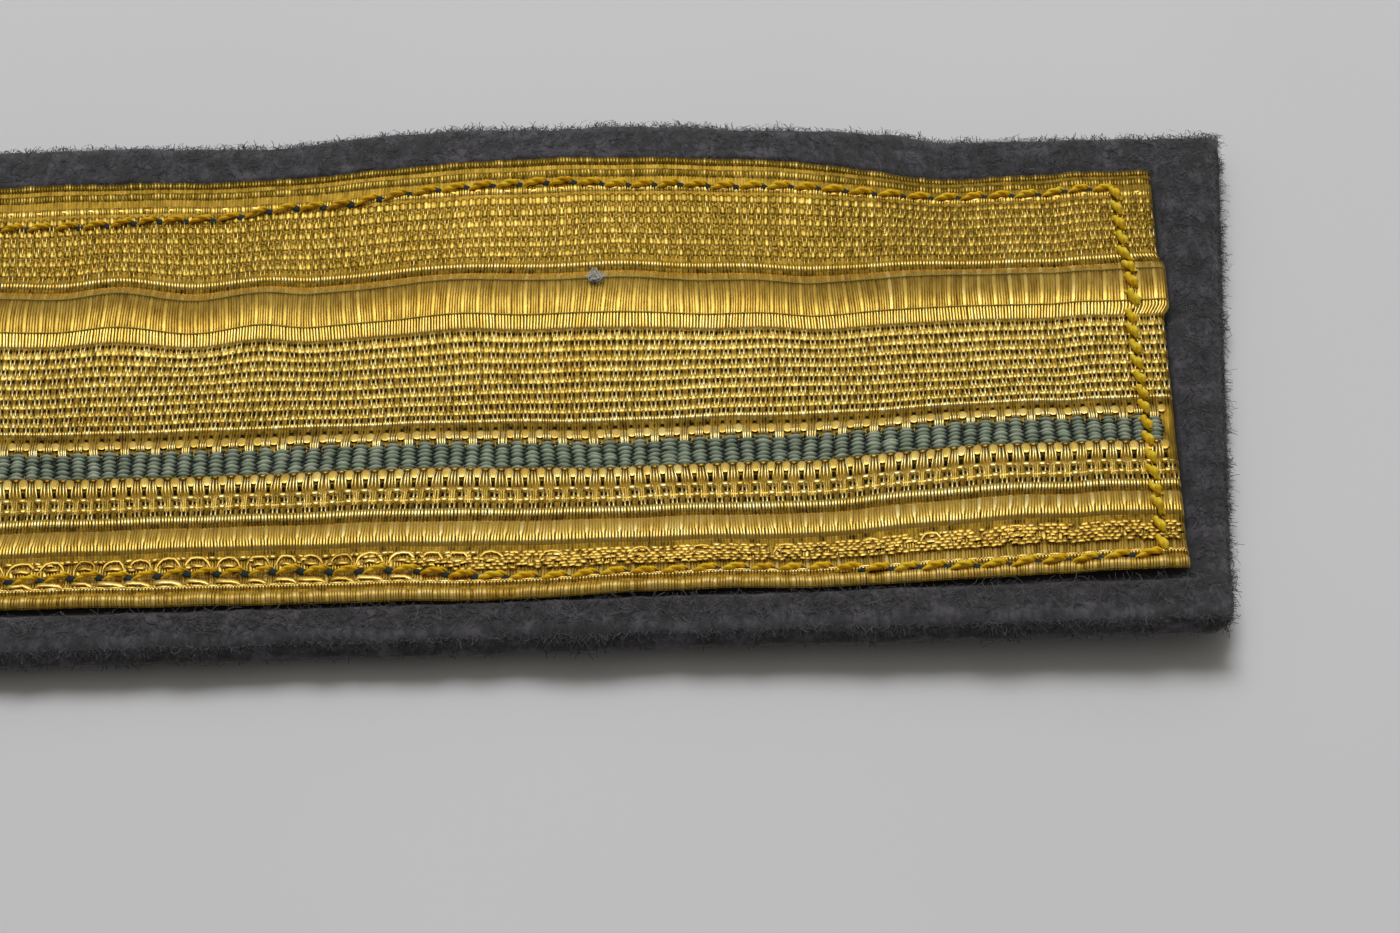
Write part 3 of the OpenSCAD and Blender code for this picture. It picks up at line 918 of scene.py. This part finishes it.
STITCH = 2.27
END_STITCH = 1.8
END_FROM_FAR = 3.15  # from the lace's end to the end row of stitches, at the far side
END_FROM_NEAR = 1.95
THREAD_R = 0.15  # radius of one ply
PLY_OFFSET = 0.105
PLY_TURNS = 1.15  # turns of the twist in a stitch
PLY_SIDES = 6
STITCH_STEPS = 13
LINT_AT = (16.5, 32.45)  # place of the fluff along the lace and across it
LINT_FIBRES = 260

NEAR_STITCHES = (  # place along the patch, distance of the row from the near selvage
    (-62, 2.75), (-40, 2.85), (-28, 2.75), (-20, 2.85), (-12, 2.95), (-8, 3.0), (-4, 2.95), (0, 2.8),
    (4, 2.65), (7.5, 2.25), (11, 1.85), (15, 1.8), (26, 1.8), (34, 1.75), (38, 1.35), (42, 1.0), (47, 0.85),
    (52, 0.85), (62, 1.1),
)
FAR_STITCHES = (
    (-62, 40.9), (-44, 40.7), (-28.5, 40.55), (-24.5, 40.6), (-20.5, 40.9), (-16.5, 40.95), (-12.5, 41.35),
    (-8.5, 41.8), (-4.3, 41.85), (0, 42.25), (4, 42.45), (8, 42.65), (12, 42.7), (16, 42.5), (24, 42.25),
    (32, 42.38), (40, 42.3), (48, 42.4), (56, 42.5), (62, 42.6),
)
ROW_WOBBLE = 0.06


def stitch_holes():
    """The holes along each row of stitches, in order, as places on the lace."""
    end = LACE_L / 2 - (END_FROM_FAR + END_FROM_NEAR) / 2
    s = np.linspace(-end, end, int(round(2 * end / STITCH)) + 1)
    lean = (END_FROM_NEAR - END_FROM_FAR) / 2
    rows = []
    for table, side, pitch in ((NEAR_STITCHES, -1, 1.3), (FAR_STITCHES, 1, 1.7)):
        at = s + lean * side * np.sign(s) * abs(s / end) ** 8
        rows.append(np.stack([at, curve(table, at) + ROW_WOBBLE * np.sin(at / pitch)], -1))
    near, far = rows
    for i in (0, -1):
        a, b = near[i], far[i]
        steps = int(round(np.linalg.norm(b - a) / END_STITCH))
        rows.append(a + (b - a) * np.linspace(0, 1, steps + 1)[:, None])
    return rows


def stitch_tubes(piece, holes, slant, thick, tints, lift=0.0, arch=0.26, short=0.0, turns=PLY_TURNS):
    """Two-ply stitches from hole to hole, each slanting across its row."""
    a, b = holes[:-1], holes[1:]
    way = (b - a) / np.linalg.norm(b - a, axis=1, keepdims=True)
    aside = np.stack([-way[:, 1], way[:, 0]], -1)
    a, b = a + way * (0.22 + 0.5 * short) - aside * slant, b + way * (0.02 - 0.5 * short) + aside * slant
    thick = column(np.broadcast_to(thick, len(a)))
    t = np.linspace(0, 1, STITCH_STEPS)
    swell = np.sin(math.pi * t)
    path = a[:, None] + (b - a)[:, None] * column(t)
    r = (THREAD_R * thick * (0.5 + 0.66 * np.clip(swell * 1.4, 0, 1)))[..., None]
    phase = random.uniform(0, TAU, (len(a), 1))
    ring = np.arange(PLY_SIDES) * TAU / PLY_SIDES
    base = face(path[..., 1]) - 0.16 + lift + arch * 1.5 * np.clip(swell * 1.25, 0, 1)
    for ply in (0, 1):
        angle = phase * 0.25 + turns * TAU * t + ply * math.pi
        centre = path + aside[:, None] * (PLY_OFFSET * thick * np.cos(angle))[..., None]
        at = centre[:, :, None] + aside[:, None, None] * (r * np.cos(ring))[..., None]
        h = (base + PLY_OFFSET * thick * np.sin(angle))[..., None] + r * np.sin(ring)
        tint = np.linspace(*tints, len(a)) + jitter(0.06, len(a))
        piece.add(place(at[..., 0], at[..., 1], h), tint, wrap=True)


def stitches():
    piece = Piece("yellow_stitches")
    near, far, left, right = stitch_holes()
    bolder = past(near[:-1, 0], -5, 15)  # the thread sinks in deeper at the left
    stitch_tubes(piece, near, 0.3, thick=0.84 + 0.26 * bolder, tints=(0.38, 0.54))
    stitch_tubes(piece, far, 0.26, thick=0.86 + 0.14 * bolder, tints=(0.2, 0.55))
    for holes in (left, right):
        stitch_tubes(
            piece, holes, 0.34, thick=1.5, tints=(0.76, 0.76), lift=0.2, arch=0.16, short=0.06, turns=0.7)
    return piece.build(YELLOW)


def bobbin_loops():
    """Where the needle went through, a dark loop of the under thread shows."""
    piece = Piece("bobbin_loops")
    for holes in stitch_holes():
        s, v = holes[1:-1].T
        piece.add(lens(s, v - 0.05, face(v) - 0.2, 0.95, 0.64, 0.26, point=0.5, steps=7), 0.4)
    return piece.build(TEAL)


def fibres(
        name, material, rng, start, heading, length, rise, droop, tone, bend, width=(0.03, 0.06), steps=4):
    """Fibres as narrow bent ribbons along a heading. The tone is their mean tint and its spread."""
    n = len(start)
    width = rng.uniform(*width, n)
    t = np.linspace(0, 1, steps)
    turn = heading[:, None] + rng.normal(0, bend, (n, 1)) * t
    step = length[:, None] * t
    x = start[:, 0:1] + step * np.cos(turn)
    y = start[:, 1:2] + step * np.sin(turn)
    z = start[:, 2:3] + rise[:, None] * np.sin(math.pi * t * 0.8) - droop[:, None] * t
    off = np.stack([-np.sin(turn), np.cos(turn), 0 * turn], -1) * width[:, None, None] / 2
    middle = np.stack([x, y, z], -1)
    piece = Piece(name)
    piece.add(np.stack([middle - off, middle + off], 2), np.clip(rng.normal(*tone, n), 0, 1))
    return piece.build(material)


def lint():
    """A clump of grey fluff caught on the broad smooth band."""
    rng = np.random.default_rng(61)
    n = LINT_FIBRES
    s, v = LINT_AT
    strewn = rng.normal(0, 0.22, n), rng.normal(0, 0.2, n), rng.uniform(0.02, 0.45, n)
    return fibres(
        "lint", LINT, rng, place(s, v, face(v)) + np.stack(strewn, -1), rng.uniform(0, TAU, n),
        rng.uniform(0.2, 0.6, n), rng.uniform(-0.1, 0.2, n), rng.uniform(0, 0.1, n),
        tone=(0.78, 0.2), bend=1.2, width=(0.04, 0.1))


# Felt

FELT_STEP = 0.76
FINE_STEP = 0.2  # distance between the mesh's lines where the felt dips under the lace's edge
FINE_REACH = 1.0
PRESS = 0.5  # how far the sewing presses the lace into the felt
PRESS_EDGE = 0.8  # how far outside the lace the dip starts
EDGE_ROUND = 1.1
UNDER_ROUND = 0.4
RIM_LEVELS = (0.2, 0.4, 0.6, 0.8)  # rings of the cut edge, as shares of the way down
UNDER_RIM_SHADE = 0.3  # painted shade: the lower half of the cut edge is darker than the rest
NAP_FIBRES = 14000
EDGE_FIBRES = 27000

FELT_STRAY = (  # place along the patch, how far the felt's far cut edge stands out there
    (-70, 0.2), (-50, 0.5), (-29, 0.55), (-21, 0.6), (-14, 0.4), (-10, 0.1), (-5, 0.4), (2, 0.5), (8, 0.4),
    (13, 0.1), (17, 0.3), (25, 0.35), (29, -0.15), (34, 0.1), (39, 0.6), (43, 1), (47, 0.55), (52, 0.35),
    (60, 0.2), (70, 0.1),
)


def cut_edge(x, y):
    """How far the felt's cut edges stray from straight, out from the middle."""
    far = curve(FELT_STRAY, x) * smooth((y - FELT_W / 2 + 5) / 5)
    near = -0.9 * near_rise(x) * smooth((4 - y - FELT_W / 2) / 4)
    rough = 0.12 * noise(x, y / 9, 2.2, 47) + 0.08 * noise(x, y / 9, 0.9, 48)
    return far + near + rough * smooth((abs(y) - FELT_W / 2 + 3) / 3) * np.sign(y)


def inside_lace(x, y):
    """Distance inside the lace's outline, negative outside it."""
    return np.minimum(lace_half(y) - abs(x), np.minimum(y - LACE_Y0, LACE_Y1 - y))


def inside_felt(x, y):
    return np.minimum(felt_half(y) - abs(x), FELT_W / 2 - abs(y))


def press_and_shade(x, y):
    """How far the felt sinks, from 0 outside the lace to 1 under it. The same share darkens the felt's tint
    there, as painted shade.
    """
    start = PRESS_EDGE * (1 + 0.3 * noise(x, y, 1.1, 45) + 0.2 * noise(x, y, 0.5, 46))
    return smooth((inside_lace(x, y) + start) / (start - 0.05))


def felt_top(x, y):
    fuzz = 0.02 + 0.07 * noise(x, y, 1.7, 41) + 0.05 * noise(x, y, 0.8, 42)
    sunk = press_and_shade(x, y)
    return bed(x, y) + fuzz * (1 - sunk) - PRESS * sunk - corner(inside_felt(x, y), EDGE_ROUND)


def felt_under(x, y):
    fuzz = 0.03 + 0.03 * noise(x, y, 1.3, 43)
    return buckle(x, y) + corner(inside_felt(x, y), UNDER_ROUND) + fuzz


def lines(half, fine):
    """Places of the mesh's lines from -half to half, closer together round each fine one."""
    coarse = np.linspace(-half, half, int(2 * half / FELT_STEP))
    near = np.concatenate([np.arange(at - FINE_REACH, at + FINE_REACH, FINE_STEP) for at in fine])
    far = np.min(abs(coarse[:, None] - np.array(fine)[None]), axis=1) > FINE_REACH
    edges = half * (1 - np.array([0.0, 0.0015, 0.004, 0.008, 0.014]))
    inner = abs(coarse) < edges[-1] - 0.1
    return np.sort(np.concatenate([coarse[far & inner], near, edges, -edges]))


def rim(top, under, loop):
    """Rings of points down the cut edge, which bulges out a little between its two outlines."""
    high, low = top[loop], under[loop]
    tangent = np.roll(high, -1, 0) - np.roll(high, 1, 0)
    out = np.stack([tangent[:, 1], -tangent[:, 0], 0 * tangent[:, 0]], -1)
    out /= np.linalg.norm(out, axis=1, keepdims=True)
    around = np.cumsum(np.linalg.norm(tangent[:, :2], axis=1)) / 2
    rings = []
    for level in RIM_LEVELS:
        bulge = 0.14 * math.sin(math.pi * level) + 0.09 * noise(around, level * 2.2, 0.9, 44)
        rings.append(high * (1 - level) + low * level + out * bulge[:, None])
    return rings


def felt_body():
    side = felt_half(0.0) / (FELT_L / 2)
    ends = lace_half(0.0) / side
    x = lines(FELT_L / 2, (-ends - 0.2, ends + 0.2))
    y = lines(FELT_W / 2, (LACE_Y0 - 0.3, LACE_Y1 + 0.3))
    nx, ny = len(x), len(y)
    U, Y = np.meshgrid(x / (FELT_L / 2), y, indexing="ij")
    X = U * felt_half(Y)
    strayed = Y + cut_edge(X, Y)
    top, under = (np.stack([X, strayed, z(X, Y)], -1).reshape(-1, 3) for z in (felt_top, felt_under))
    i, j = np.arange(nx), np.arange(ny)
    loop = np.concatenate([i * ny, (nx - 1) * ny + j[1:], i[::-1][1:] * ny + ny - 1, j[::-1][1:-1]])
    points = np.concatenate([top, under] + rim(top, under, loop))
    a = i[:-1, None] * ny + j[None, :-1]
    faces = np.stack([a, a + ny, a + ny + 1, a + 1], -1).reshape(-1, 4)
    quads = [faces, faces[:, ::-1] + nx * ny]
    levels = [loop] + [2 * nx * ny + n * len(loop) + np.arange(len(loop)) for n in range(len(RIM_LEVELS))]
    levels.append(loop + nx * ny)
    for high, low in zip(levels[:-1], levels[1:]):
        quads.append(np.stack([high, low, np.roll(low, -1), np.roll(high, -1)], -1))
    # The felt's tint: painted shade where the lace sinks it and on the lower half of the cut edge.
    unshaded = 1 - press_and_shade(points[:, 0], points[:, 1])
    unshaded[np.concatenate(levels[-3:])] = UNDER_RIM_SHADE
    return shown("felt_body", points, np.concatenate(quads), unshaded, FELT)


def nap_top():
    """Loose fibres that lie on the bare margin of the felt."""
    rng = np.random.default_rng(51)
    x = rng.uniform(-FELT_L / 2, FELT_L / 2, NAP_FIBRES * 5)
    y = rng.uniform(-FELT_W / 2, FELT_W / 2, NAP_FIBRES * 5)
    bare = (inside_lace(x, y) < -PRESS_EDGE) & (abs(x) < felt_half(y) - 0.1)
    x, y = x[bare][:NAP_FIBRES], y[bare][:NAP_FIBRES]
    n = len(x)
    start = np.stack([x, y, felt_top(x, y) - 0.03], -1)
    length, rise = rng.uniform(0.4, 1.5, n), rng.uniform(0.02, 0.16, n)
    return fibres(
        "felt_nap_face", NAP, rng, start, rng.uniform(0, TAU, n), length, rise, np.full(n, 0.02),
        tone=(0.48, 0.26), bend=0.9)


def nap_edge():
    """Fibres that stand out of the cut edge, whose sides are numbered near, far, left and right."""
    rng = np.random.default_rng(52)
    n = EDGE_FIBRES
    share = rng.uniform(0, 1, n)
    side = rng.integers(0, 4, n)
    side = np.where(rng.uniform(0, 1, n) < 0.72, side % 2, 2 + side % 2)
    sign = np.where(side % 2 == 0, -1, 1)
    y = np.where(side < 2, sign * FELT_W / 2, (share - 0.5) * FELT_W)
    half = felt_half(np.clip(y, 0.8 - FELT_W / 2, FELT_W / 2 - 0.8))
    x = np.where(side < 2, 2 * share - 1, sign) * half
    out = np.array([-0.5, 0.5, 1, 0])[side] * math.pi
    low = buckle(x, y) + 0.15
    y = y + cut_edge(x, y)
    start = np.stack([x, y, low + (FELT_T - 0.35) * rng.uniform(0, 1, n) ** 0.4], -1)
    inward = rng.uniform(0.1, 0.5, n)
    start[:, 0] -= inward * np.cos(out)
    start[:, 1] -= inward * np.sin(out)
    length = (0.3 + 0.5 * rng.uniform(0, 1, n) ** 1.6) * (1 + 0.5 * noise(x, y, 1.3, 53))
    drop = np.minimum(rng.uniform(-0.2, 0.4, n), start[:, 2] - 0.05)
    return fibres(
        "felt_nap_edge", NAP, rng, start, out + rng.normal(0, 0.8, n), length, rng.uniform(0, 0.15, n), drop,
        tone=(0.5, 0.24), bend=1.1, steps=3)


ground = weave_ground()
threads = [
    *smooth_bands(), tie_threads(), short_floats(), *selvages(), basket_picks(), middle_cords(),
    edge_cords(), stripe_edges(), strands(), long_floats(), painted_gap_shade()]
green = green_stripe()
sewing = [stitches(), bobbin_loops(), lint()]
felt = felt_body()
nap = [nap_top(), nap_edge()]

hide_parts("felt_backing")
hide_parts("gold_lace")
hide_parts("green_stripe")


# Table, lights and camera

TABLE_R = 1.5  # half the table's width, in metres
VIEW_AIM = Vector((24.8, -10.8, 3.0)) * MM  # the point that the photograph's middle shows
VIEW_DISTANCE = 264.25 * MM
VIEW_RISE = math.radians(46.5)
VIEW_ROLL = math.radians(1.75)
LENS = 87.25
CLIP_START = 0.01


def stage():
    mesh = bpy.data.meshes.new("floor")
    corners = [(x * TABLE_R, y * TABLE_R, 0) for x, y in ((-1, -1), (1, -1), (1, 1), (-1, 1))]
    mesh.from_pydata(corners, [], [(0, 1, 2, 3)])
    mesh.materials.append(floor_look())
    placed("floor", mesh)


def area_light(name, rise, distance, size, power, colour):
    """A square lamp on the far side, so many degrees above the table, that faces the patch."""
    data = bpy.data.lights.new(name, "AREA")
    data.size = size
    data.energy = power
    data.color = colour
    light = placed(name, data)
    way = Vector((0, math.cos(math.radians(rise)), math.sin(math.radians(rise))))
    light.location = VIEW_AIM + way * distance
    light.rotation_euler = way.to_track_quat("Z", "Y").to_euler()
    return light


def lights():
    area_light("far_wall", 40, 1.0, 1.2, 1.35, (1.0, 0.985, 0.96))
    area_light("overhead_window", 80, 0.7, 0.6, 2.85, (1.0, 0.99, 0.97)).visible_diffuse = False
    area_light("far_window", 60, 0.7, 0.34, 2.42, (0.97, 0.98, 1.0)).visible_glossy = False
    world = bpy.data.worlds.new("room_light")
    world.use_nodes = True
    background = world.node_tree.nodes["Background"]
    background.inputs["Color"].default_value = (1.0, 0.94, 0.84, 1)
    background.inputs["Strength"].default_value = 0.2
    bpy.context.scene.world = world


def camera():
    data = bpy.data.cameras.new("camera")
    data.lens = LENS
    data.clip_start = CLIP_START
    view = placed("camera", data)
    back = Vector((0, -math.cos(VIEW_RISE), math.sin(VIEW_RISE)))
    right = Vector((1, 0, 0))
    up = back.cross(right)
    turn = Matrix.Rotation(VIEW_ROLL, 3, -back)
    right, up = turn @ right, turn @ up
    view.matrix_world = Matrix.Translation(VIEW_AIM + back * VIEW_DISTANCE) @ Matrix(
        (right, up, back)).transposed().to_4x4()
    bpy.context.scene.camera = view


stage()
lights()
camera()
bpy.context.scene.view_settings.view_transform = "Standard"
